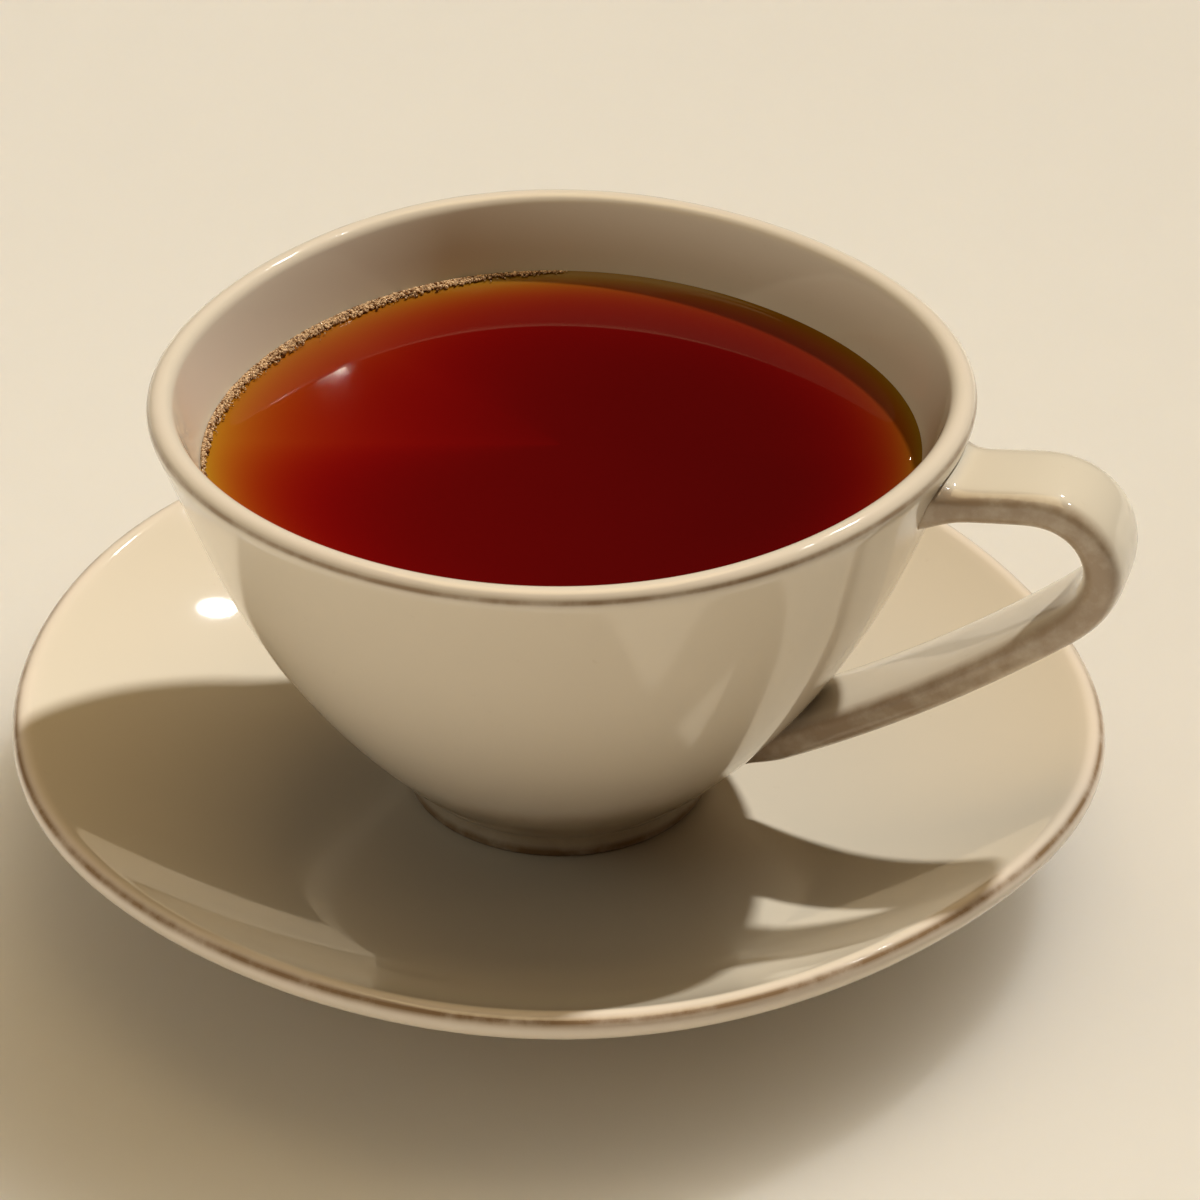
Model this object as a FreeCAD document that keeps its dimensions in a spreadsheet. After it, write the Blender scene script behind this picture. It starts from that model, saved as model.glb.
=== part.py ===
import FreeCAD, Part
import math
import os

import Sketcher
from FreeCAD import Placement, Rotation, Vector

# A stoneware tea cup on its saucer, filled with tea. Millimetres, +Z up. The origin lies on the cup's
# axis, in the plane of the saucer's foot ring, and the handle points along +X. Saucer, cup and tea are
# separate solids; the cup and its handle are one fired piece.

# Driving sizes. Heights of the cup and its tea are counted from the cup's own foot.
SIZES = {
    "saucer_rim_radius": 72.5,
    "saucer_wall": 3.5,           # thickness of the dish out to its rim
    "saucer_slope": 31.0,         # degrees of the dish from level, at the rim
    "saucer_floor": 4.3,          # thickness of the well that the cup stands on
    "well_radius": 22.5,          # flat middle of the saucer
    "saucer_foot_radius": 40.0,   # outside of the saucer's foot ring
    "saucer_foot_width": 3.6,
    "saucer_foot_height": 3.0,
    "rim_radius": 52.6,           # outside of the cup's lip
    "cup_height": 60.4,
    "wall": 3.5,                  # thickness of the cup's side
    "wall_taper": 19.4,           # degrees from upright of the straight upper side
    "belly_radius": 100.0,        # curve from the straight side down to the foot
    "foot_radius": 20.0,
    "foot_height": 3.0,
    "foot_width": 3.2,
    "foot_recess": 1.6,           # hollow under the cup, inside its foot ring
    "cup_floor": 4.4,             # thickness of the floor over that hollow
    "bowl_corner": 11.0,          # curve between the inner side and the inner floor
    "handle_drop": 6.8,           # middle of the strap's upper root below the lip
    "handle_lift": 8.0,           # degrees that the upper arm climbs
    "handle_reach": 71.5,         # middle of the strap at its furthest from the axis
    "handle_bend": 8.4,           # radius of the bend at the middle of the strap
    "handle_sweep": 200.0,        # radius of the slightly bowed lower arm
    "handle_root": 11.4,          # middle of the strap's lower root above the foot
    "handle_width": 14.0,
    "handle_thick": 5.3,
    "handle_edge": 2.0,           # rounding of the strap's four edges
    "root_fillet": 1.6,           # flow of the upper arm into the side
    "foot_softness": 0.8,         # rounding of both foot rings
    "tea_below_lip": 10.4,
}

# Sizes that follow from the driving ones. The side is a straight taper that runs tangent into the
# belly's arc, which ends at the top of the foot. The inner side has the same shape, a wall further in.
FORMULAS = {
    "taper_sine": "=sin(wall_taper * 1deg)",
    "taper_cosine": "=cos(wall_taper * 1deg)",
    "foot_off_side": "=(rim_radius - foot_radius) * taper_cosine - (cup_height - foot_height) * taper_sine",
    "foot_down_side": "=(rim_radius - foot_radius) * taper_sine + (cup_height - foot_height) * taper_cosine",
    "side_length": "=foot_down_side - sqrt(2 * belly_radius * foot_off_side - foot_off_side ^ 2)",
    "side_end_radius": "=rim_radius - side_length * taper_sine",
    "side_end_height": "=cup_height - side_length * taper_cosine",
    "belly_centre_across": "=side_end_radius - belly_radius * taper_cosine",
    "belly_centre_up": "=side_end_height + belly_radius * taper_sine",
    "foot_inner_radius": "=foot_radius - foot_width",
    "bowl_floor_height": "=foot_recess + cup_floor",
    "bowl_radius": "=belly_radius - wall",
    "bowl_lip_radius": "=rim_radius - wall / taper_cosine",
    "bowl_side_radius": "=side_end_radius - wall * taper_cosine",
    "bowl_side_height": "=side_end_height + wall * taper_sine",
    "bowl_flat_radius": "=belly_centre_across + sqrt((bowl_radius - bowl_corner) ^ 2"
                        " - (belly_centre_up - bowl_floor_height - bowl_corner) ^ 2)",
    "bowl_corner_share": "=bowl_radius / (bowl_radius - bowl_corner)",
    "bowl_join_radius": "=belly_centre_across + (bowl_flat_radius - belly_centre_across) * bowl_corner_share",
    "bowl_join_height": "=belly_centre_up"
                        " - (belly_centre_up - bowl_floor_height - bowl_corner) * bowl_corner_share",
    "tea_level": "=cup_height - tea_below_lip",
    "well_level": "=saucer_foot_height + saucer_floor",
    "dish_run": "=saucer_rim_radius - saucer_wall * sin(saucer_slope * 1deg) - well_radius",
    "dish_radius": "=dish_run / sin(saucer_slope * 1deg)",
    "dish_under_radius": "=dish_radius + saucer_wall",
    "dish_edge_radius": "=well_radius + dish_run",
    "dish_edge_height": "=well_level + dish_radius * (1 - cos(saucer_slope * 1deg))",
    "saucer_under_height": "=dish_edge_height - saucer_wall * cos(saucer_slope * 1deg)",
    "saucer_ring_inner": "=saucer_foot_radius - saucer_foot_width",
    "saucer_ring_top": "=well_level + dish_radius"
                       " - sqrt(dish_under_radius ^ 2 - (saucer_foot_radius - well_radius) ^ 2)",
    "upper_root_height": "=cup_height - handle_drop",
    "upper_root_radius": "=rim_radius - handle_drop * taper_sine / taper_cosine - wall / 2",
    "lower_root_radius": "=belly_centre_across + sqrt((belly_radius - wall / 2) ^ 2"
                         " - (belly_centre_up - handle_root) ^ 2)",
    "bend_centre_radius": "=handle_reach - handle_bend",
    "strap_half_width": "=handle_width / 2",
    "strap_half_thick": "=handle_thick / 2",
    "strap_flat_half_width": "=handle_width / 2 - handle_edge",
    "strap_flat_half_thick": "=handle_thick / 2 - handle_edge",
    "strap_left": "=-strap_half_width",
    "strap_flat_left": "=-strap_flat_half_width",
    "strap_low": "=-strap_half_thick",
    "strap_flat_low": "=-strap_flat_half_thick",
}
ROUND_SHARE = 0.45                # rounding of a lip as a share of its wall: both edges, almost meeting
ON_SURFACE = 0.02                 # an edge this near the side's surface lies on it

doc = FreeCAD.newDocument("tea_cup")
sheet = doc.addObject("Spreadsheet::Sheet", "Sizes")
for row, (name, content) in enumerate({**SIZES, **FORMULAS}.items(), start=1):
    sheet.set(f"A{row}", name)
    sheet.set(f"B{row}", str(content))
    sheet.setAlias(f"B{row}", name)
doc.recompute()


def size(name):
    """The value of a named cell, or 0 for a coordinate on the axis or on the base line."""
    return 0.0 if name is None else float(sheet.get(name))


def new_body(label, height=None):
    """A body with its own label, standing at the height of a named cell."""
    body = doc.addObject("PartDesign::Body", label)
    body.Label = label
    if height:
        body.Placement = Placement(Vector(0, 0, size(height)), Rotation())
        body.setExpression("Placement.Base.z", f"Sizes.{height}")
    return body


def new_sketch(body, name, plane):
    """A sketch on one of the body's own origin planes."""
    sketch = body.newObject("Sketcher::SketchObject", name)
    support = [feature for feature in body.Origin.OriginFeatures if feature.Role == plane][0]
    sketch.AttachmentSupport = (support, "")
    sketch.MapMode = "FlatFace"
    return sketch


def bind(sketch, kind, *arguments, cell, scale=""):
    """Adds a constraint whose value is a named cell, times "1deg" where it is an angle."""
    value = size(cell)
    if scale:
        value = math.radians(value)
    index = sketch.addConstraint(Sketcher.Constraint(kind, *arguments, value))
    sketch.setExpression(f"Constraints[{index}]", f"Sizes.{cell}{scale}")


def pin_point(sketch, edge, end, across, up):
    """Holds one end of an edge at the coordinates in two cells; None is the axis or the base line."""
    for kind, cell, axis in (("DistanceX", across, -2), ("DistanceY", up, -1)):
        if cell is None:
            sketch.addConstraint(Sketcher.Constraint("PointOnObject", edge, end, axis))
        else:
            bind(sketch, kind, edge, end, cell=cell)


def arc_between(centre, radius, first, last):
    """The anticlockwise arc about a centre from the direction of one point to that of another."""
    start, stop = (math.atan2(point.y - centre.y, point.x - centre.x) for point in (first, last))
    return Part.ArcOfCircle(Part.Circle(centre, Vector(0, 0, 1), radius), start, stop)


def arc_edge(start, end, radius, side):
    """The shorter arc from start to end that bulges to the right (+1) or the left (-1) of the way
    between them. It is stored anticlockwise, so it runs from start to end only if it bulges to the
    right."""
    chord = end - start
    left = Vector(-chord.y, chord.x, 0).normalize()
    centre = start + chord / 2 + left * side * math.sqrt(radius ** 2 - (chord.Length / 2) ** 2)
    return arc_between(centre, radius, *((start, end) if side > 0 else (end, start)))


def draw_outline(sketch, corners, arcs):
    """Draws a closed outline. corners are pairs of cells, across and up. arcs gives, by the number of
    the corner that an arc leaves, the cell of its radius and the side it bulges to; every other edge is
    straight."""
    points = [Vector(size(across), size(up), 0) for across, up in corners]
    ends = []
    for number, start in enumerate(points):
        end = points[(number + 1) % len(points)]
        if number in arcs:
            cell, side = arcs[number]
            edge = sketch.addGeometry(arc_edge(start, end, size(cell), side), False)
            ends.append((edge, 1, 2) if side > 0 else (edge, 2, 1))
        else:
            edge = sketch.addGeometry(Part.LineSegment(start, end), False)
            ends.append((edge, 1, 2))
    for number, (edge, first, _) in enumerate(ends):
        last_edge, _, last_end = ends[number - 1]
        sketch.addConstraint(Sketcher.Constraint("Coincident", last_edge, last_end, edge, first))
        pin_point(sketch, edge, first, *corners[number])
    for number, (cell, _) in arcs.items():
        bind(sketch, "Radius", ends[number][0], cell=cell)


def revolve(body, kind, name, corners, arcs):
    """Turns an outline, drawn in the YZ plane, once round the axis, as a Revolution or a Groove."""
    sketch = new_sketch(body, f"{name}_outline", "YZ_Plane")
    draw_outline(sketch, corners, arcs)
    feature = body.newObject(f"PartDesign::{kind}", name)
    feature.Profile = sketch
    feature.ReferenceAxis = (sketch, ["V_Axis"])
    feature.Angle = 360.0
    doc.recompute()
    return feature


def round_edges(body, name, base, edges, cell, share=1.0):
    """Fillets the numbered edges of a feature with a share of the size in a cell."""
    fillet = body.newObject("PartDesign::Fillet", name)
    fillet.Base = (base, [f"Edge{number}" for number in edges])
    fillet.Radius = share * size(cell)
    fillet.setExpression("Radius", f"{share} * Sizes.{cell}")
    doc.recompute()
    return fillet


def rings_at(shape, places):
    """Numbers of the shape's circles about the axis that lie at one of the places, pairs of cells."""
    found = []
    for number, edge in enumerate(shape.Edges, start=1):
        box = edge.BoundBox
        for across, up in places:
            flat = abs(box.ZMax - size(up)) < ON_SURFACE and abs(box.ZMin - size(up)) < ON_SURFACE
            wide = max(abs(reach - size(across)) for reach in (box.XMax, box.YMax)) < ON_SURFACE
            if flat and wide:
                found.append(number)
    return found


# The saucer: a flat well that the cup stands on, a dish that rises in one arc, and a foot ring below.
saucer = new_body("saucer")
dish = revolve(saucer, "Revolution", "dish", [
    (None, "saucer_foot_height"),
    ("saucer_ring_inner", "saucer_foot_height"),
    ("saucer_ring_inner", None),
    ("saucer_foot_radius", None),
    ("saucer_foot_radius", "saucer_ring_top"),
    ("saucer_rim_radius", "saucer_under_height"),
    ("dish_edge_radius", "dish_edge_height"),
    ("well_radius", "well_level"),
    (None, "well_level"),
], {4: ("dish_under_radius", 1), 6: ("dish_radius", -1)})
saucer_rim = [("saucer_rim_radius", "saucer_under_height"), ("dish_edge_radius", "dish_edge_height")]
saucer_foot = [("saucer_ring_inner", None), ("saucer_foot_radius", None)]
soft_rim = round_edges(saucer, "soft_rim", dish, rings_at(dish.Shape, saucer_rim), "saucer_wall", ROUND_SHARE)
round_edges(saucer, "soft_saucer_foot", soft_rim, rings_at(soft_rim.Shape, saucer_foot), "foot_softness")

# The cup's outside, solid at first, with its foot ring and the recess under it.
cup = new_body("cup", "well_level")
blank = revolve(cup, "Revolution", "blank", [
    (None, "foot_recess"),
    ("foot_inner_radius", "foot_recess"),
    ("foot_inner_radius", None),
    ("foot_radius", None),
    ("foot_radius", "foot_height"),
    ("side_end_radius", "side_end_height"),
    ("rim_radius", "cup_height"),
    (None, "cup_height"),
], {4: ("belly_radius", 1)})

# The handle's path: a straight upper arm, the bend, and a slightly bowed lower arm into the wall.
path = new_sketch(cup, "handle_path", "XZ_Plane")
lift = math.radians(size("handle_lift"))
bend = size("handle_bend")
sweep = size("handle_sweep")
upper_root = Vector(size("upper_root_radius"), size("upper_root_height"), 0)
lower_root = Vector(size("lower_root_radius"), size("handle_root"), 0)
along = Vector(math.cos(lift), math.sin(lift), 0)
across = Vector(math.sin(lift), -math.cos(lift), 0)
arm = (size("bend_centre_radius") - upper_root.x - bend * across.x) / along.x
bend_centre = upper_root + along * arm + across * bend
# The lower arm's centre is its radius from the root, and the difference of both radii from the bend's.
to_root = lower_root - bend_centre
apart = to_root.Length
share = ((sweep - bend) ** 2 - sweep ** 2 + apart ** 2) / (2 * apart ** 2)
aside = math.sqrt((sweep - bend) ** 2 - (share * apart) ** 2) / apart
sweep_centre = bend_centre + to_root * share + Vector(to_root.y, -to_root.x, 0) * aside
meeting = bend_centre + (bend_centre - sweep_centre).normalize() * bend
bend_start = upper_root + along * arm
upper_arm = path.addGeometry(Part.LineSegment(upper_root, bend_start), False)
bend_arc = path.addGeometry(arc_between(bend_centre, bend, meeting, bend_start), False)
lower_arm = path.addGeometry(arc_between(sweep_centre, sweep, lower_root, meeting), False)
# Both arcs are stored anticlockwise, so the bend starts at the lower arm and ends at the upper one.
path.addConstraint(Sketcher.Constraint("Tangent", upper_arm, 2, bend_arc, 2))
path.addConstraint(Sketcher.Constraint("Tangent", bend_arc, 1, lower_arm, 2))
pin_point(path, upper_arm, 1, "upper_root_radius", "upper_root_height")
pin_point(path, lower_arm, 1, "lower_root_radius", "handle_root")
bind(path, "Angle", upper_arm, cell="handle_lift", scale=" * 1deg")
bind(path, "DistanceX", bend_arc, 3, cell="bend_centre_radius")
bind(path, "Radius", bend_arc, cell="handle_bend")
bind(path, "Radius", lower_arm, cell="handle_sweep")

# The strap's section, square to the upper arm at its root: a flat band with rounded edges.
section = new_sketch(cup, "handle_section", "YZ_Plane")
section.AttachmentOffset = Placement(
    Vector(0, upper_root.y, upper_root.x), Rotation(Vector(-1, 0, 0), size("handle_lift")))
section.setExpression("AttachmentOffset.Base.y", "Sizes.upper_root_height")
section.setExpression("AttachmentOffset.Base.z", "Sizes.upper_root_radius")
section.setExpression("AttachmentOffset.Rotation.Angle", "Sizes.handle_lift * 1deg")
draw_outline(section, [
    ("strap_flat_half_width", "strap_low"),
    ("strap_half_width", "strap_flat_low"),
    ("strap_half_width", "strap_flat_half_thick"),
    ("strap_flat_half_width", "strap_half_thick"),
    ("strap_flat_left", "strap_half_thick"),
    ("strap_left", "strap_flat_half_thick"),
    ("strap_left", "strap_flat_low"),
    ("strap_flat_left", "strap_low"),
], {corner: ("handle_edge", 1) for corner in (0, 2, 4, 6)})
handle = cup.newObject("PartDesign::AdditivePipe", "handle")
handle.Profile = section
handle.Spine = (path, ["Edge1", "Edge2", "Edge3"])
handle.Mode = "Standard"
doc.recompute()


def side_radius(height):
    """Radius of the cup's outside at a height above its foot."""
    if height > size("side_end_height"):
        below_lip = size("cup_height") - height
        return size("rim_radius") - below_lip * math.tan(math.radians(size("wall_taper")))
    rise = size("belly_centre_up") - height
    return size("belly_centre_across") + math.sqrt(size("belly_radius") ** 2 - rise ** 2)


def upper_root_edges(shape):
    """Numbers of the edges where the upper arm meets the cup's side: all those on the handle's half of
    the side that lie in the strap's own band of heights."""
    reach = size("strap_half_thick") + size("handle_thick")
    found = []
    for number, edge in enumerate(shape.Edges, start=1):
        points = edge.discretize(9)
        in_band = all(abs(point.z - upper_root.y) < reach for point in points)
        near_handle = all(point.x > size("strap_half_width") for point in points)
        off_side = [abs(math.hypot(point.x, point.y) - side_radius(point.z)) for point in points]
        if in_band and near_handle and max(off_side) < ON_SURFACE:
            found.append(number)
    return found


# The upper arm flows into the side. The lower arm meets it almost along the surface, without a fillet.
soft_root = round_edges(cup, "soft_root", handle, upper_root_edges(handle.Shape), "root_fillet")

# The bowl of the cup. It is hollowed out last, so that nothing of the handle stands inside it.
bowl_outline = [
    (None, "bowl_floor_height"),
    ("bowl_flat_radius", "bowl_floor_height"),
    ("bowl_join_radius", "bowl_join_height"),
    ("bowl_side_radius", "bowl_side_height"),
    ("bowl_lip_radius", "cup_height"),
    (None, "cup_height"),
]
bowl_arcs = {1: ("bowl_corner", 1), 2: ("bowl_radius", 1)}
hollow = revolve(cup, "Groove", "hollow", bowl_outline, bowl_arcs)
lip = [("rim_radius", "cup_height"), ("bowl_lip_radius", "cup_height")]
soft_lip = round_edges(cup, "soft_lip", hollow, rings_at(hollow.Shape, lip), "wall", ROUND_SHARE)
cup_foot = [("foot_inner_radius", None), ("foot_radius", None)]
round_edges(cup, "soft_cup_foot", soft_lip, rings_at(soft_lip.Shape, cup_foot), "foot_softness")

# The tea: what the bowl holds, taken off at the tea's level.
tea = new_body("tea", "well_level")
revolve(tea, "Revolution", "bowlful", bowl_outline, bowl_arcs)
revolve(tea, "Groove", "above_tea", [
    (None, "tea_level"),
    ("rim_radius", "tea_level"),
    ("rim_radius", "cup_height"),
    (None, "cup_height"),
], {})

doc.recompute()
faults = [item.Name for item in doc.Objects if "Invalid" in item.State or "Error" in item.State]
faults += [item.Name for item in doc.Objects
           if item.TypeId == "Sketcher::SketchObject" and not item.FullyConstrained]
faults += [part.Label for part in (saucer, cup, tea)
           if part.Shape.isNull() or not part.Shape.isValid() or len(part.Shape.Solids) != 1]
if faults:
    raise SystemExit(f"failed: {', '.join(faults)}")

os.makedirs("parts", exist_ok=True)
for part in (saucer, cup, tea):
    part.Shape.exportStep(f"parts/{part.Label}.step")
    box = part.Shape.BoundBox
    print(f"{part.Label}: {part.Shape.Volume / 1000:.1f} cm3, {box.XMin:.1f}..{box.XMax:.1f},"
          f" {box.YMin:.1f}..{box.YMax:.1f}, {box.ZMin:.1f}..{box.ZMax:.1f}")
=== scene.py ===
"""A glazed stoneware cup of black tea on its saucer, with its fine shapes, glazes and light. Metres, in the
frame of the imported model: the origin under the cup's axis, +Z up, the handle along +X."""

import bpy
import numpy as np
from mathutils import Matrix, Vector


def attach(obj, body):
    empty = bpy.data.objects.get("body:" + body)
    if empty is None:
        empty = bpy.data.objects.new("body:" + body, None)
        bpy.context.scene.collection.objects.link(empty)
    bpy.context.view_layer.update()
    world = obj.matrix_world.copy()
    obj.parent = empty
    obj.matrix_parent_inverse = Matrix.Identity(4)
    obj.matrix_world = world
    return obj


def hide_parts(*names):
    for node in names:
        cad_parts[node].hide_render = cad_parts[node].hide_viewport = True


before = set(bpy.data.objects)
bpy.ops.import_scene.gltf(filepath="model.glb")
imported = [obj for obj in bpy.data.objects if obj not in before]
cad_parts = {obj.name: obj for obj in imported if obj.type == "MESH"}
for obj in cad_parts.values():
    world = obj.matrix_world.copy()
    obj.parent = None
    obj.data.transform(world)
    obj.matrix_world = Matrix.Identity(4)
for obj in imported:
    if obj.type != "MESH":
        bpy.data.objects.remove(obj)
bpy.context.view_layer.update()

# ---- Saucer ----------------------------------------------------------------------------------------------
# A dish of cream-glazed stoneware, turned on a wheel, with a flat well for the cup and a foot ring below. The
# glaze breaks to brown clay along the outer shoulder of the rounded rim. Sizes are in millimetres.
SHOWN_TURN = 17.2                 # degrees from the handle to the viewer's right
AROUND = 300                      # steps round the axis
STEP = 0.30                       # spacing of the points along an outline
SOFT_CORNER = 0.35                # how far the glaze rounds a corner
SAUCER_WALL = 3.5
WELL_RADIUS = 22.5
WELL_LEVEL = 7.3
DISH_RADIUS = 93.6                # of the arc that rises from the well to the rim
RIM_ANGLE = np.radians(29.98)     # of that arc, from the well to the middle of the rim
SAUCER_FOOT = (36.4, 40.0)        # inner and outer radius of the ring
SAUCER_FOOT_TOP = 3.0


def arc(centre, radius, start, stop):
    """Points of a circle's arc between two angles, in degrees: centre plus radius times (cosine, sine)."""
    turn = np.radians(np.linspace(start, stop, max(3, int(abs(stop - start) * radius / 14))))
    return np.stack([centre[0] + radius * np.cos(turn), centre[1] + radius * np.sin(turn)], 1)


def outline_through(*runs):
    """An outline of evenly spaced points: the runs are joined end to end, and a point is placed at each step
    of the length along them."""
    points = np.concatenate([np.atleast_2d(run) for run in runs])
    length = np.concatenate([[0], np.cumsum(np.hypot(*np.diff(points, axis=0).T))])
    places = np.linspace(0, length[-1], int(length[-1] / STEP) + 1)
    return np.stack([np.interp(places, length, points[:, 0]), np.interp(places, length, points[:, 1])], 1)


def softened(outline, reach):
    """The outline with its corners rounded: each point becomes the mean of its neighbours, weighted by a bell
    curve that is reach wide. Past its ends the outline is turned half round, so that they stay in place."""
    count = int(np.ceil(3 * reach / STEP))
    bell = np.exp(-0.5 * (np.arange(-count, count + 1) * STEP / reach) ** 2)
    bell /= bell.sum()
    longer = np.concatenate([2 * outline[0] - outline[count:0:-1], outline,
                             2 * outline[-1] - outline[-2:-count - 2:-1]])
    return np.stack([np.convolve(column, bell, "valid") for column in longer.T], 1)


def thinned(outline):
    """The outline with two of every three points left out where it bends by less than a degree a step."""
    step = np.diff(outline, axis=0)
    bend = np.abs(np.diff(np.unwrap(np.arctan2(step[:, 1], step[:, 0]))))
    keep = np.ones(len(outline), bool)
    keep[1:-1] = (bend > np.radians(1)) | (np.arange(1, len(outline) - 1) % 3 == 0)
    return outline[keep]


def piece_from(name, points, faces):
    """A smooth-shaded mesh object from points in millimetres and faces of three or four corners each."""
    mesh = bpy.data.meshes.new(name)
    mesh.from_pydata((points * 0.001).tolist(), [], faces)
    mesh.polygons.foreach_set("use_smooth", np.ones(len(mesh.polygons), bool))
    mesh.update()
    piece = bpy.data.objects.new(name, mesh)
    bpy.context.scene.collection.objects.link(piece)
    return piece


def turned(outline, wobble):
    """Points and faces of an outline carried once round the axis, from the axis and back to it. At turn t a
    point of radius r and height z goes to (r cos t, r sin t, z), and wobble(turn, radius, height) gives what
    the maker's hand adds to radius and height there. The two ends on the axis are one point each."""
    turn = np.linspace(0, 2 * np.pi, AROUND, endpoint=False)
    inner = outline[1:-1]
    radius, t = np.meshgrid(inner[:, 0], turn, indexing="ij")
    height = np.repeat(inner[:, 1:], AROUND, 1)
    wider, higher = wobble(t, radius, height)
    radius, height = radius + wider, height + higher
    rings = np.stack([radius * np.cos(t), radius * np.sin(t), height], 2).reshape(-1, 3)
    ends = np.array([[0, 0, outline[0, 1]], [0, 0, outline[-1, 1]]])
    points = np.concatenate([rings, ends])
    low = np.arange((len(inner) - 1) * AROUND)
    beside = low - low % AROUND + (low + 1) % AROUND
    sides = np.stack([low, beside, beside + AROUND, low + AROUND], 1)
    first = np.arange(AROUND)
    last = first + (len(inner) - 1) * AROUND
    start, stop = len(rings), len(rings) + 1
    fans = [np.stack([np.full(AROUND, start), np.roll(first, -1), first], 1),
            np.stack([np.full(AROUND, stop), last, np.roll(last, -1)], 1)]
    return points, sides.tolist() + fans[0].tolist() + fans[1].tolist()


def give(piece, name, values):
    """Stores one number for each point of a piece under a name that its material reads."""
    piece.data.attributes.new(name, "FLOAT", "POINT").data.foreach_set("value", values.astype(np.float32))


def all_round(values):
    """One value for each point of an outline, given to each point of the turned mesh that comes of it."""
    return np.concatenate([np.repeat(values[1:-1], AROUND), values[[0, -1]]])


def line_at(outline, place, width):
    """How near each point of a turned outline lies to a place on it: a bell curve of the distance."""
    return all_round(np.exp(-(np.hypot(*(outline - place).T) / width) ** 2))


def on_bead(centre, radius, degrees):
    """The place on a rounded rim at an angle above the horizontal, given its round's centre and radius."""
    return centre + radius * np.array([np.cos(np.radians(degrees)), np.sin(np.radians(degrees))])


def waves(turn, *heights):
    """Slow waves round the axis: for each (count, cosine, sine), the cosine and the sine of count times the
    turn, each times its height in millimetres. The turn is counted from the viewer's right."""
    shown = turn - np.radians(SHOWN_TURN)
    return sum(cosine * np.cos(count * shown) + sine * np.sin(count * shown)
               for count, cosine, sine in heights)


def saucer_wobble(turn, radius, height):
    """A hand-turned dish is a little out of round and out of level, from its foot ring out to its rim."""
    share = np.clip((radius - 42) / 30, 0, 1) ** 1.5
    return (share * waves(turn, (2, -0.52, 0.04), (3, -0.22, 0.80), (4, 0.32, -0.18), (5, 0.31, -0.48)),
            share * (0.55 + waves(turn, (1, -0.28, -1.0), (2, -1.2, -0.8))))


dish_centre = (WELL_RADIUS, WELL_LEVEL + DISH_RADIUS)
under = DISH_RADIUS + SAUCER_WALL
rim_turn = np.degrees(RIM_ANGLE) - 90
ring_turn = np.degrees(np.arcsin((SAUCER_FOOT[1] - WELL_RADIUS) / under)) - 90
middle = DISH_RADIUS + SAUCER_WALL / 2
rim_centre = dish_centre + middle * np.array([np.sin(RIM_ANGLE), -np.cos(RIM_ANGLE)])
saucer_outline = thinned(softened(outline_through(
    [(0, SAUCER_FOOT_TOP), (SAUCER_FOOT[0], SAUCER_FOOT_TOP), (SAUCER_FOOT[0], 0), (SAUCER_FOOT[1], 0)],
    arc(dish_centre, under, ring_turn, rim_turn),
    arc(rim_centre, SAUCER_WALL / 2, rim_turn, rim_turn + 180),
    arc(dish_centre, DISH_RADIUS, rim_turn, -90),
    [(0, WELL_LEVEL)]), SOFT_CORNER))
saucer = piece_from("saucer_dish", *turned(saucer_outline, saucer_wobble))


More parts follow.
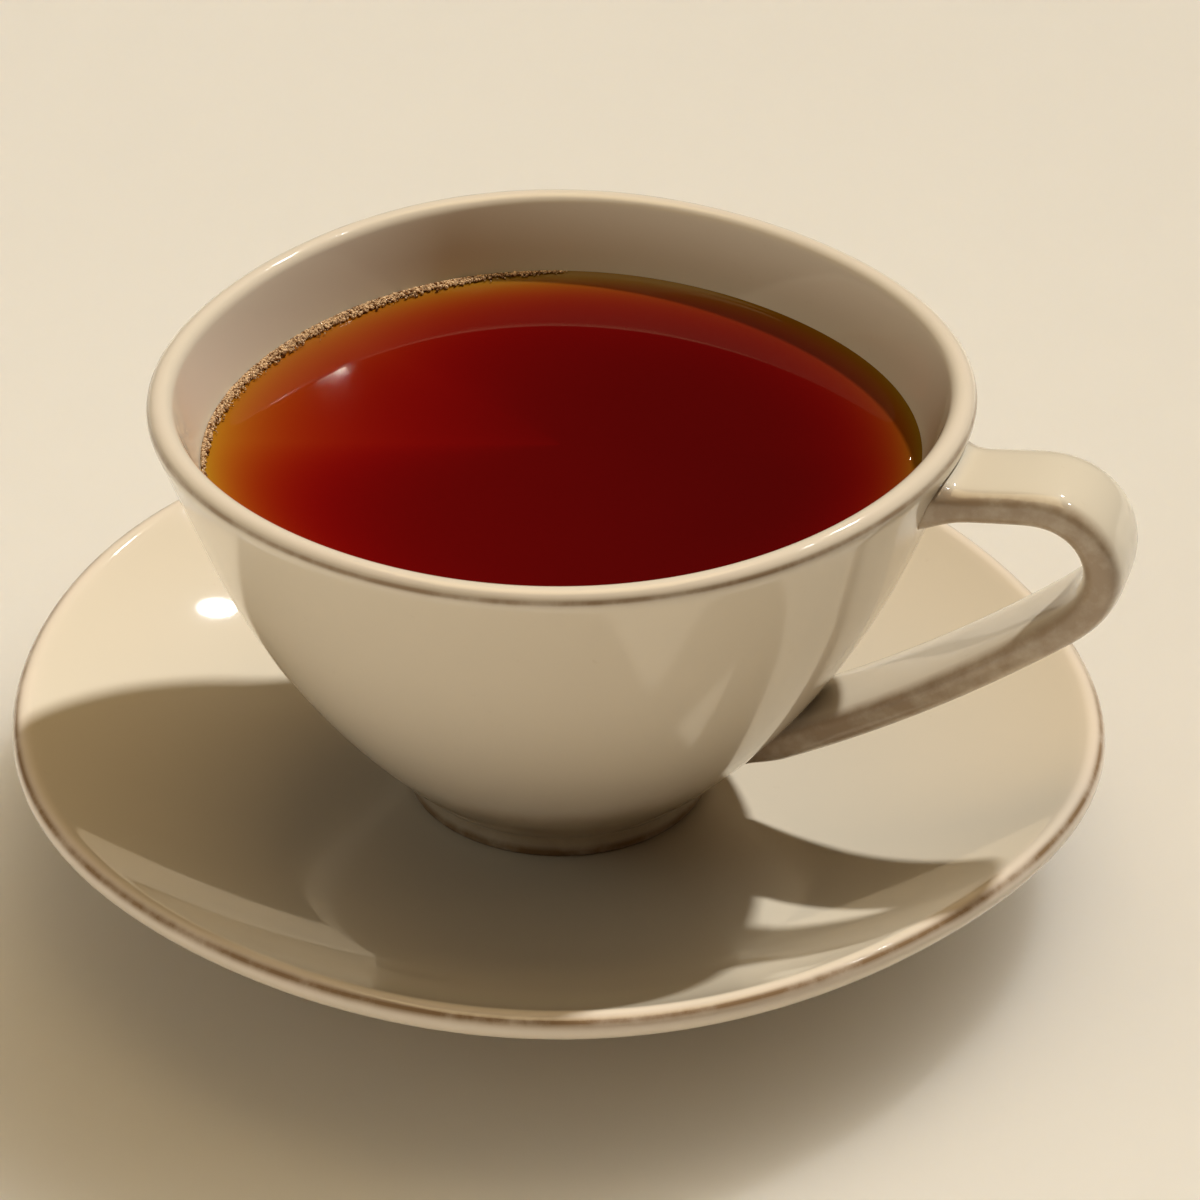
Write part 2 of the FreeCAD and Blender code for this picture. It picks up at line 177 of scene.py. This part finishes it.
def glaze(name, breaks):
    """Cream stoneware glaze: a warm white with slow clouds and fine specks, rosy where the piece's thin_glaze
    says so and brown where its clay_and_painted_shade does, in patches of a size that breaks sets. That brown
    is bare clay where the glaze breaks, and painted shade where the attribute darkens parts that lie in
    shade. Its skin is as smooth as glass with a faint orange-peel ripple."""
    material = bpy.data.materials.new(name)
    material.use_nodes = True
    nodes, links = material.node_tree.nodes, material.node_tree.links
    skin = nodes["Principled BSDF"]
    skin.inputs["IOR"].default_value = 1.5
    skin.inputs["Specular IOR Level"].default_value = 0.12
    skin.inputs["Coat Weight"].default_value = 1.0
    skin.inputs["Coat Roughness"].default_value = 0.05
    skin.inputs["Coat IOR"].default_value = 1.5
    place = nodes.new("ShaderNodeTexCoord")

    def noise(scale, detail, roughness=0.5):
        texture = nodes.new("ShaderNodeTexNoise")
        texture.inputs["Scale"].default_value = scale
        texture.inputs["Detail"].default_value = detail
        texture.inputs["Roughness"].default_value = roughness
        links.new(place.outputs["Object"], texture.inputs["Vector"])
        return texture.outputs["Fac"]

    def ramp(source, low, high, first=0.0, last=1.0):
        spread = nodes.new("ShaderNodeMapRange")
        for socket, value in zip(("From Min", "From Max", "To Min", "To Max"), (low, high, first, last)):
            spread.inputs[socket].default_value = value
        links.new(source, spread.inputs["Value"])
        return spread.outputs["Result"]

    def blend(factor, under_colour, over_colour):
        mix = nodes.new("ShaderNodeMix")
        mix.data_type = "RGBA"
        links.new(factor, mix.inputs["Factor"])
        for socket, colour in ((mix.inputs["A"], under_colour), (mix.inputs["B"], over_colour)):
            if isinstance(colour, tuple):
                socket.default_value = (*colour, 1)
            else:
                links.new(colour, socket)
        return mix.outputs["Result"]

    def times(first, second, operation="MULTIPLY"):
        node = nodes.new("ShaderNodeMath")
        node.operation = operation
        for socket, value in zip(node.inputs, (first, second)):
            if isinstance(value, (int, float)):
                socket.default_value = value
            else:
                links.new(value, socket)
        return node.outputs["Value"]

    clouds = blend(ramp(noise(16, 1), 0.2, 0.8), (0.715, 0.625, 0.492), (0.695, 0.604, 0.472))
    specks = ramp(noise(700, 2, 0.6), 0.70, 0.85, 0.0, 0.2)
    speckled = blend(specks, clouds, (0.50, 0.38, 0.25))
    clay_and_shade = nodes.new("ShaderNodeAttribute")
    clay_and_shade.attribute_name = "clay_and_painted_shade"
    rosy = nodes.new("ShaderNodeAttribute")
    rosy.attribute_name = "thin_glaze"
    thin = times(rosy.outputs["Fac"], ramp(noise(60, 2), 0.3, 0.7, 0.55, 1.0))
    blush = blend(thin, speckled, (0.80, 0.655, 0.535))
    patches = times(clay_and_shade.outputs["Fac"], ramp(noise(breaks, 5, 0.65), 0.34, 0.56, 0.55, 1.0))
    links.new(blend(patches, blush, (0.230, 0.130, 0.055)), skin.inputs["Base Color"])
    links.new(ramp(noise(60, 1), 0.3, 0.7, 0.285, 0.345), skin.inputs["Roughness"])
    ripple = nodes.new("ShaderNodeBump")
    ripple.inputs["Strength"].default_value = 0.05
    ripple.inputs["Distance"].default_value = 0.0005
    links.new(times(noise(55, 0), times(noise(420, 0), 0.02), "ADD"), ripple.inputs["Height"])
    links.new(ripple.outputs["Normal"], skin.inputs["Normal"])
    return material


def coordinates(piece):
    """A piece's points as an array, in millimetres."""
    flat = np.empty(len(piece.data.vertices) * 3)
    piece.data.vertices.foreach_get("co", flat)
    return flat.reshape(-1, 3) * 1000


give(saucer, "clay_and_painted_shade", line_at(saucer_outline, on_bead(rim_centre, SAUCER_WALL / 2, 46), 0.56))
give(saucer, "thin_glaze", 0.8 * line_at(saucer_outline, on_bead(rim_centre, SAUCER_WALL / 2, 50), 1.9))
saucer.data.materials.append(glaze("saucer_glaze", 160))
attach(saucer, "root")
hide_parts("saucer")

# ---- Cup -------------------------------------------------------------------------------------------------
# The cup is thrown from the same clay, straight at the lip and round in the belly, on a low dry foot ring. A
# pulled strap is luted on as its handle. The lip is full and round, and the glaze has run thin on it, with a
# brown line on its outer shoulder. Brown painted shade is laid over the glaze low on the belly towards the
# saucer. The dry foot's brown bottom edge also stands for the contact shade where it meets the saucer. The
# strap's brown sides are partly its glaze and partly painted shade.
CUP_HEIGHT = 60.4
WALL = 3.5
TAPER = 19.4                      # degrees from upright of the upper side
BELLY_RADIUS = 100.0
BELLY_CENTRE = (-47.72, 76.58)
LIP_CENTRE = (50.15, CUP_HEIGHT - WALL / 2)
CUP_FOOT = (16.8, 20.0)
CUP_FOOT_TOP = 3.0
RECESS_TOP = 1.6
BOWL_FLOOR = 6.0
BOWL_CORNER = 11.0
TOP_RUN = [(48.7, 53.63), (61.58, 55.49)]                   # of the handle, out from under the lip
BEND_CENTRE, BEND_RADIUS = (62.75, 47.18), 8.4              # of the turn after it
SWEEP_CENTRE, SWEEP_RADIUS = (-65.15, 189.54), 200.0        # of its long lower arm
BEND_START, BEND_END, SWEEP_END = 98, -47.99, -62.9         # angles round those centres, in degrees
TAIL = (-41.9, -45.4)             # angles round BELLY_CENTRE of its end, inside the cup's wall
HALF_WIDTH, HALF_THICK = 7.0, 2.45          # of the strap between its ends
STRAP_STEPS = 64                  # points round the strap


def cup_wobble(turn, radius, height):
    """The lip of a thrown cup is slightly squared, by slow waves that die away down the side."""
    share = np.clip((height - WELL_LEVEL) / CUP_HEIGHT, 0, 1) ** 2 * np.clip(radius / 40, 0, 1)
    return (share * waves(turn, (2, -0.51, 0.49), (3, 0.25, -0.38), (4, 0.54, 0.27)),
            share * (waves(turn, (1, 0.27, -0.08)) - 0.19))


bowl_radius = BELLY_RADIUS - WALL
foot_turn = -np.degrees(np.arcsin((BELLY_CENTRE[1] - CUP_FOOT_TOP) / BELLY_RADIUS))
corner_up = BOWL_FLOOR + BOWL_CORNER
corner_drop = BELLY_CENTRE[1] - corner_up
corner_across = BELLY_CENTRE[0] + np.sqrt((bowl_radius - BOWL_CORNER) ** 2 - corner_drop ** 2)
join_turn = -np.degrees(np.arctan2(corner_drop, corner_across - BELLY_CENTRE[0]))
bowl_side = outline_through(
    arc(LIP_CENTRE, WALL / 2, 180 - TAPER - 4, 180 - TAPER),
    arc(BELLY_CENTRE, bowl_radius, -TAPER, join_turn),
    arc((corner_across, corner_up), BOWL_CORNER, join_turn, -90),
    [(0, BOWL_FLOOR)])
cup_outline = thinned(softened(outline_through(
    [(0, RECESS_TOP), (CUP_FOOT[0], RECESS_TOP), (CUP_FOOT[0], 0), (CUP_FOOT[1], 0)],
    arc(BELLY_CENTRE, BELLY_RADIUS, foot_turn, -TAPER),
    arc(LIP_CENTRE, WALL / 2, -TAPER, 180 - TAPER),
    bowl_side), SOFT_CORNER)) + (0, WELL_LEVEL)
bowl_points, bowl_faces = turned(cup_outline, cup_wobble)


def strap(path, half_width, half_thick, lean):
    """Points and faces of a strap whose section, a rounded oblong, is carried along a path in the XZ plane.
    Across the strap a point lies at half_width times the 2/3.4th power of cosine, and through it at
    half_thick times that of sine, along the path's normal, which lean turns towards a wall where it meets
    one. Both ends are closed."""
    along = np.gradient(path, axis=0)
    along /= np.hypot(*along.T)[:, None]
    normal = np.stack([-along[:, 1], along[:, 0]], 1) + lean
    normal /= np.hypot(*normal.T)[:, None]
    steps = STRAP_STEPS
    turn = np.linspace(0, 2 * np.pi, steps, endpoint=False)
    power = 2 / 3.4
    wide = np.sign(np.cos(turn)) * np.abs(np.cos(turn)) ** power
    thick = np.sign(np.sin(turn)) * np.abs(np.sin(turn)) ** power
    across = half_width[:, None] * wide
    through = half_thick[:, None] * thick
    points = np.stack([path[:, :1] + normal[:, :1] * through, across,
                       path[:, 1:] + normal[:, 1:] * through], 2).reshape(-1, 3)
    ends = np.array([[path[0, 0], 0, path[0, 1]], [path[-1, 0], 0, path[-1, 1]]])
    low = np.arange((len(path) - 1) * steps)
    beside = low - low % steps + (low + 1) % steps
    sides = np.stack([low, beside, beside + steps, low + steps], 1)
    first = np.arange(steps)
    last = first + (len(path) - 1) * steps
    count = len(points)
    caps = [np.stack([np.full(steps, count), np.roll(first, -1), first], 1),
            np.stack([np.full(steps, count + 1), last, np.roll(last, -1)], 1)]
    return np.concatenate([points, ends]), sides.tolist() + caps[0].tolist() + caps[1].tolist()


wall_middle = BELLY_RADIUS - WALL / 2
strap_path = softened(outline_through(
    TOP_RUN,
    arc(BEND_CENTRE, BEND_RADIUS, BEND_START, BEND_END),
    arc(SWEEP_CENTRE, SWEEP_RADIUS, BEND_END, SWEEP_END),
    arc(BELLY_CENTRE, wall_middle, *TAIL)), 1.8)[::2] + (0, WELL_LEVEL)
# The strap flares where it leaves the lip, and thins where it sinks into the belly.
travelled = np.arange(len(strap_path)) * 2 * STEP
remaining = travelled[::-1]
upper = np.exp(-(travelled / 2.6) ** 2)
sunk = np.clip((13 - remaining) / 9, 0, 1)
sunk = sunk * sunk * (3 - 2 * sunk)
strap_points, strap_faces = strap(
    strap_path,
    HALF_WIDTH + 1.5 * upper - 1.0 * sunk,
    HALF_THICK + 0.25 * np.exp(-((travelled - 25) / 11) ** 2) + 1.3 * upper - 0.9 * sunk,
    np.exp(-(travelled / 4.0) ** 2)[:, None] * np.array([0.47, -0.05]))
cup = piece_from("cup_and_handle", np.concatenate([bowl_points, strap_points]),
                 bowl_faces + [[corner + len(bowl_points) for corner in face] for face in strap_faces])
lip_middle = np.array(LIP_CENTRE) + (0, WELL_LEVEL)
lip_line = line_at(cup_outline, on_bead(lip_middle, WALL / 2, 20), 0.34)
lip_blush = 0.5 * line_at(cup_outline, on_bead(lip_middle, WALL / 2, 75), 1.7)
above_well = cup_outline[:, 1] - WELL_LEVEL
# The foot's bottom edge is bare clay, and its brown also stands for the contact shade where the foot meets
# the saucer.
dry_foot_and_contact_shade = all_round(np.clip((2.0 - above_well) / 0.8, 0, 1))
# Painted shade: the glaze is browned low on the belly, more so towards the saucer, where shade falls under
# the cup.
painted_belly_shade = all_round(0.45 * np.clip((26 - above_well) / 22, 0, 1) ** 1.5)
# Both sides of the strap are brown: partly thin glaze over clay, partly painted shade on faces that lie in
# shade.
strap_side_clay_and_shade = np.clip((np.abs(strap_points[:, 1]) - 4.9) / 1.6, 0, 1) * 0.72
bowl_clay_and_shade = np.maximum(lip_line, np.maximum(dry_foot_and_contact_shade, painted_belly_shade))
give(cup, "clay_and_painted_shade", np.concatenate([bowl_clay_and_shade, strap_side_clay_and_shade]))
give(cup, "thin_glaze", np.concatenate([lip_blush, 0 * strap_side_clay_and_shade]))
cup.data.materials.append(glaze("cup_glaze", 130))
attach(cup, "root")
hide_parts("cup")

# ---- Tea -------------------------------------------------------------------------------------------------
# Black tea fills the bowl to ten millimetres below the lip and creeps up the glaze in a small meniscus. It
# shows amber where it is shallow over the lit side of the bowl, and turns to a deep red where it is deep.
# That colour is painted at the points of a closed, glossy filling, with painted light and shade laid over it:
# brighter where the lamp lights the wall under the tea, darker at the right and back where that wall lies in
# shade.
TEA_LEVEL = 57.3
INTO_WALL = 0.25
CREEP = 0.7                       # height of the meniscus at the wall
CREEP_REACH = 1.1
TEA_RINGS = 150
wall_level = TEA_LEVEL + CREEP - WELL_LEVEL
tea_edge = np.interp(wall_level, bowl_side[::-1, 1], bowl_side[::-1, 0])
below = thinned(bowl_side[bowl_side[:, 1] < wall_level - 0.4][::-1]) + (INTO_WALL, WELL_LEVEL)
below[0, 0] = 0
surface_radius = (tea_edge + INTO_WALL) * (1 - np.linspace(0, 1, TEA_RINGS) ** 1.6)
surface_inward = tea_edge - np.minimum(surface_radius, tea_edge)
surface = np.stack([surface_radius, TEA_LEVEL + CREEP * np.exp(-surface_inward / CREEP_REACH)], 1)
tea = piece_from("tea_filling", *turned(np.concatenate([below, surface]), cup_wobble))
at = coordinates(tea)
inward = np.maximum(tea_edge - np.hypot(at[:, 0], at[:, 1]), 0)
turn = (np.degrees(np.arctan2(at[:, 1], at[:, 0])) - SHOWN_TURN + 135) % 360 - 135
compass = [-135, -90, -45, 0, 45, 90, 135, 180, 225]       # round the cup, from its near left and back to it
steepness = np.interp(turn, compass, [3.0, 7.0, 5.0, 2.6, 2.6, 2.3, 1.2, 1.0, 3.0])
# Painted light and shade round the bowl: the tea is brightest over the lamp-lit left wall and darkest over
# the shaded right.
painted_light = np.interp(turn, compass, [0.95, 0.8, 0.6, 0.5, 0.5, 0.6, 0.85, 1.0, 0.95])
through_tea = inward * steepness
fade = np.exp(-through_tea / 30)
painted_light = painted_light * fade + 0.85 * (1 - fade)
sideways = at[:, 0] * np.cos(np.radians(SHOWN_TURN)) + at[:, 1] * np.sin(np.radians(SHOWN_TURN))
# The red is also painted lighter on the left and darker on the right, more so where the tea is deep: painted
# light and shade.
red = 0.25 * np.exp(-through_tea / 17) + 0.100 - 0.0009 * sideways * (1 - fade)
green = 0.175 * np.exp(-through_tea / 4.9) + 0.0016
blue = 0.009 * np.exp(-through_tea / 5) + 0.0015
shade = np.stack([red * painted_light, green * painted_light, blue * painted_light, np.ones_like(red)], 1)
tea.data.color_attributes.new("tea_colour_and_painted_light", "FLOAT_COLOR", "POINT").data.foreach_set(
    "color", shade.astype(np.float32).ravel())

brew = bpy.data.materials.new("black_tea")
brew.use_nodes = True
nodes, links = brew.node_tree.nodes, brew.node_tree.links
liquid = nodes["Principled BSDF"]
liquid.inputs["Roughness"].default_value = 0.02
liquid.inputs["IOR"].default_value = 1.333
liquid.inputs["Specular IOR Level"].default_value = 0.20
colour_and_light = nodes.new("ShaderNodeAttribute")
colour_and_light.attribute_name = "tea_colour_and_painted_light"
place = nodes.new("ShaderNodeTexCoord")
drift = nodes.new("ShaderNodeTexNoise")
drift.inputs["Scale"].default_value = 28
drift.inputs["Detail"].default_value = 2
links.new(place.outputs["Object"], drift.inputs["Vector"])
swirl = nodes.new("ShaderNodeMapRange")
swirl.inputs["To Min"].default_value = 0.9
swirl.inputs["To Max"].default_value = 1.1
links.new(drift.outputs["Fac"], swirl.inputs["Value"])
tinted = nodes.new("ShaderNodeVectorMath")
tinted.operation = "SCALE"
links.new(colour_and_light.outputs["Color"], tinted.inputs[0])
links.new(swirl.outputs["Result"], tinted.inputs["Scale"])
links.new(tinted.outputs["Vector"], liquid.inputs["Base Color"])
tea.data.materials.append(brew)
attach(tea, "root")
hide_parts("tea")

# ---- Bubbles ---------------------------------------------------------------------------------------------
# Pouring leaves a fringe of fine bubbles, skins of tea round air, which float and gather against the glaze
# along one side of the bowl.
BUBBLES = 5400
SMALLEST, LARGEST = 0.06, 0.30    # radius
FRINGE_START, FRINGE_SPAN = 90, 104         # degrees round the cup
chance = np.random.default_rng(7)
spread = chance.beta(1.6, 1.6, BUBBLES)
bubble_turn = np.radians(SHOWN_TURN + FRINGE_START + FRINGE_SPAN * spread)
fringe = 1.25 * np.sin(np.pi * spread) ** 0.6 + 0.15
off_wall = np.abs(chance.normal(0, 0.42, BUBBLES)) * fringe
bubble_size = np.clip(chance.lognormal(-2.20, 0.38, BUBBLES), SMALLEST, LARGEST)
bubble_radius = tea_edge - 0.1 - bubble_size * 0.6 - off_wall
wider, _ = cup_wobble(bubble_turn, bubble_radius, np.full(BUBBLES, TEA_LEVEL))
bubble_height = TEA_LEVEL + CREEP * np.exp(-(tea_edge - bubble_radius) / CREEP_REACH) - 0.02
centres = np.stack([(bubble_radius + wider) * np.cos(bubble_turn),
                    (bubble_radius + wider) * np.sin(bubble_turn), bubble_height], 1)


def domes(centres, sizes, columns=6, rows=3):
    """Points and faces of many small round bubbles: on each, rows of points at even angles from pole to pole,
    with the two poles closed by fans. A point is its bubble's centre plus its size times (sin p cos a,
    sin p sin a, cos p), for the angle p from the pole and the angle a round it."""
    polar, around = np.meshgrid(np.linspace(0, np.pi, rows + 2)[1:-1],
                                np.linspace(0, 2 * np.pi, columns, endpoint=False), indexing="ij")
    ball = np.stack([np.sin(polar) * np.cos(around), np.sin(polar) * np.sin(around), np.cos(polar)], 2)
    ball = np.concatenate([ball.reshape(-1, 3), [[0, 0, 1], [0, 0, -1]]])
    points = (centres[:, None] + sizes[:, None, None] * ball).reshape(-1, 3)
    low = np.arange((rows - 1) * columns)
    beside = low - low % columns + (low + 1) % columns
    quads = np.stack([low, low + columns, beside + columns, beside], 1)
    first = np.arange(columns)
    last = first + (rows - 1) * columns
    fans = np.concatenate([np.stack([np.full(columns, rows * columns), first, np.roll(first, -1)], 1),
                           np.stack([np.full(columns, rows * columns + 1), np.roll(last, -1), last], 1)])
    offsets = np.arange(len(centres))[:, None, None] * len(ball)
    return points, (offsets + quads).reshape(-1, 4).tolist() + (offsets + fans).reshape(-1, 3).tolist()


bubbles = piece_from("tea_bubbles", *domes(centres, bubble_size))
give(bubbles, "tone", np.repeat(chance.random(BUBBLES), len(bubbles.data.vertices) // BUBBLES))
froth = bpy.data.materials.new("tea_froth")
froth.use_nodes = True
nodes, links = froth.node_tree.nodes, froth.node_tree.links
film = nodes["Principled BSDF"]
film.inputs["Roughness"].default_value = 0.06
film.inputs["IOR"].default_value = 1.4
film.inputs["Coat Weight"].default_value = 0.6
tone = nodes.new("ShaderNodeAttribute")
tone.attribute_name = "tone"
tones = nodes.new("ShaderNodeValToRGB")
tones.color_ramp.elements[0].color = (0.17, 0.060, 0.014, 1)
tones.color_ramp.elements[0].position = 0.10
tones.color_ramp.elements[1].color = (0.78, 0.53, 0.31, 1)
tones.color_ramp.elements[1].position = 0.60
links.new(tone.outputs["Fac"], tones.inputs["Fac"])
links.new(tones.outputs["Color"], film.inputs["Base Color"])
bubbles.data.materials.append(froth)
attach(bubbles, "root")

# ---- Table -----------------------------------------------------------------------------------------------
# A plain cream table top, matt and even, that reaches out of view all round. Light spreads a little inside
# it, which softens the shadows.
TABLE_REACH = 3000
corners = TABLE_REACH * np.array([[-1, -1, 0], [1, -1, 0], [1, 1, 0], [-1, 1, 0]])
table = piece_from("table", corners, [[0, 1, 2, 3]])
cream = bpy.data.materials.new("table_cream")
cream.use_nodes = True
nodes, links = cream.node_tree.nodes, cream.node_tree.links
matt = nodes["Principled BSDF"]
matt.inputs["Roughness"].default_value = 0.6
matt.subsurface_method = "BURLEY"
matt.inputs["Subsurface Weight"].default_value = 1.0
matt.inputs["Subsurface Radius"].default_value = (1.0, 0.95, 0.85)
matt.inputs["Subsurface Scale"].default_value = 0.07
place = nodes.new("ShaderNodeTexCoord")
mottle = nodes.new("ShaderNodeTexNoise")
mottle.inputs["Scale"].default_value = 9
links.new(place.outputs["Object"], mottle.inputs["Vector"])
creams = nodes.new("ShaderNodeValToRGB")
creams.color_ramp.elements[0].color = (0.695, 0.640, 0.565, 1)
creams.color_ramp.elements[1].color = (0.710, 0.655, 0.580, 1)
links.new(mottle.outputs["Fac"], creams.inputs["Fac"])
links.new(creams.outputs["Color"], matt.inputs["Base Color"])
table.data.materials.append(cream)

# ---- Light -----------------------------------------------------------------------------------------------
# One clear lamp stands high behind the cup and throws the shadows. Soft ones in front of the cup, above it
# and to its left fill them, with a dim warm room. The gloss doesn't mirror the clear lamp: two round panes,
# seen only in the gloss, stand in its place there, and a small lamp that shines on the tea alone makes its
# bright spot.


def towards(turn, height):
    """The direction, from the cup, of a place at this turn round the axis and this height above the table,
    both angles in degrees."""
    turn, height = np.radians(turn), np.radians(height)
    return Vector((np.cos(height) * np.cos(turn), np.cos(height) * np.sin(turn), np.sin(height)))


def lamp(name, kind, direction, distance=1.0, seen_in_glaze=True, light_falls=True):
    """A lamp of a kind that stands in a direction from the cup, and shines at it. It can be left out of what
    the glaze mirrors, or be seen only there."""
    light = bpy.data.lights.new(name, kind)
    holder = bpy.data.objects.new(name, light)
    aim = direction.to_track_quat("Z", "Y").to_matrix().to_4x4()
    holder.matrix_world = Matrix.Translation(direction * distance) @ aim
    holder.visible_glossy = seen_in_glaze
    holder.visible_diffuse = light_falls
    bpy.context.scene.collection.objects.link(holder)
    return light


key = lamp("key_lamp", "SUN", towards(68.8, 51.3), seen_in_glaze=False)
key.angle = np.radians(2.5)
key.energy = 3.35
key.color = (0.98, 1.0, 0.98)
front = lamp("front_softbox", "AREA", towards(-100, 14), seen_in_glaze=False)
front.shape = "RECTANGLE"
front.size, front.size_y = 1.8, 0.22
front.energy = 0.8
front.color = (1.0, 0.70, 0.42)
back = lamp("overhead_softbox", "AREA", towards(107, 80), 1.2)
back.size = 0.8
back.energy = 5.1
back.color = (1.0, 0.75, 0.40)
low = lamp("low_front_strip", "AREA", towards(-105, 3.2), 2.8, seen_in_glaze=False)
low.shape = "RECTANGLE"
low.size, low.size_y = 5.0, 0.28
low.energy = 24
low.color = (1.0, 0.97, 0.90)
side = lamp("left_softbox", "AREA", towards(212, 28), seen_in_glaze=False)
side.size = 0.6
side.energy = 1.25
side.color = (0.95, 1.0, 0.92)
for number, (turn, height, width) in enumerate(((78.5, 48.7, 0.31), (55.5, 56.0, 0.22))):
    pane = lamp(f"window_pane_{number}", "AREA", towards(turn, height), 6.0, light_falls=False)
    pane.shape = "DISK"
    pane.size = width
    pane.energy = 170 * width ** 2
glint = lamp("low_back_glint", "AREA", towards(112.3, 28.8), 6.0, light_falls=False)
glint.shape = "ELLIPSE"
glint.size, glint.size_y = 0.046, 0.015
glint.energy = 0.6
glint.color = (1.0, 0.90, 0.74)
wet = bpy.data.collections.new("wet_surface")
wet.objects.link(tea)
bpy.data.objects["low_back_glint"].light_linking.receiver_collection = wet
room = bpy.data.worlds.new("room")
room.use_nodes = True
room.node_tree.nodes["Background"].inputs["Color"].default_value = (1.0, 0.80, 0.52, 1)
room.node_tree.nodes["Background"].inputs["Strength"].default_value = 0.012
bpy.context.scene.world = room
bpy.context.scene.view_settings.view_transform = "Standard"

# ---- Camera ----------------------------------------------------------------------------------------------
# The camera looks down at the cup from the front, with the handle to its right.
LIP_RADIUS = 0.052
LIP_LEVEL = 0.0670
FROM_LIP = Vector((0.10015, -0.53522, 9.8765))       # the camera from the lip's centre, in lip radii
FOCAL_LENGTH = 122.7912
pitch, roll = np.radians(32.18), np.radians(0.906)
stand = Matrix.Rotation(np.radians(SHOWN_TURN), 4, "Z") @ Matrix.Rotation(np.pi / 2 - pitch, 4, "X")
eye = bpy.data.cameras.new("camera")
eye.sensor_width = 36
eye.lens = FOCAL_LENGTH
camera = bpy.data.objects.new("camera", eye)
bpy.context.scene.collection.objects.link(camera)
camera.matrix_world = (Matrix.Translation((0, 0, LIP_LEVEL)) @ stand
                       @ Matrix.Translation(FROM_LIP * LIP_RADIUS) @ Matrix.Rotation(roll, 4, "Z"))
bpy.context.scene.camera = camera
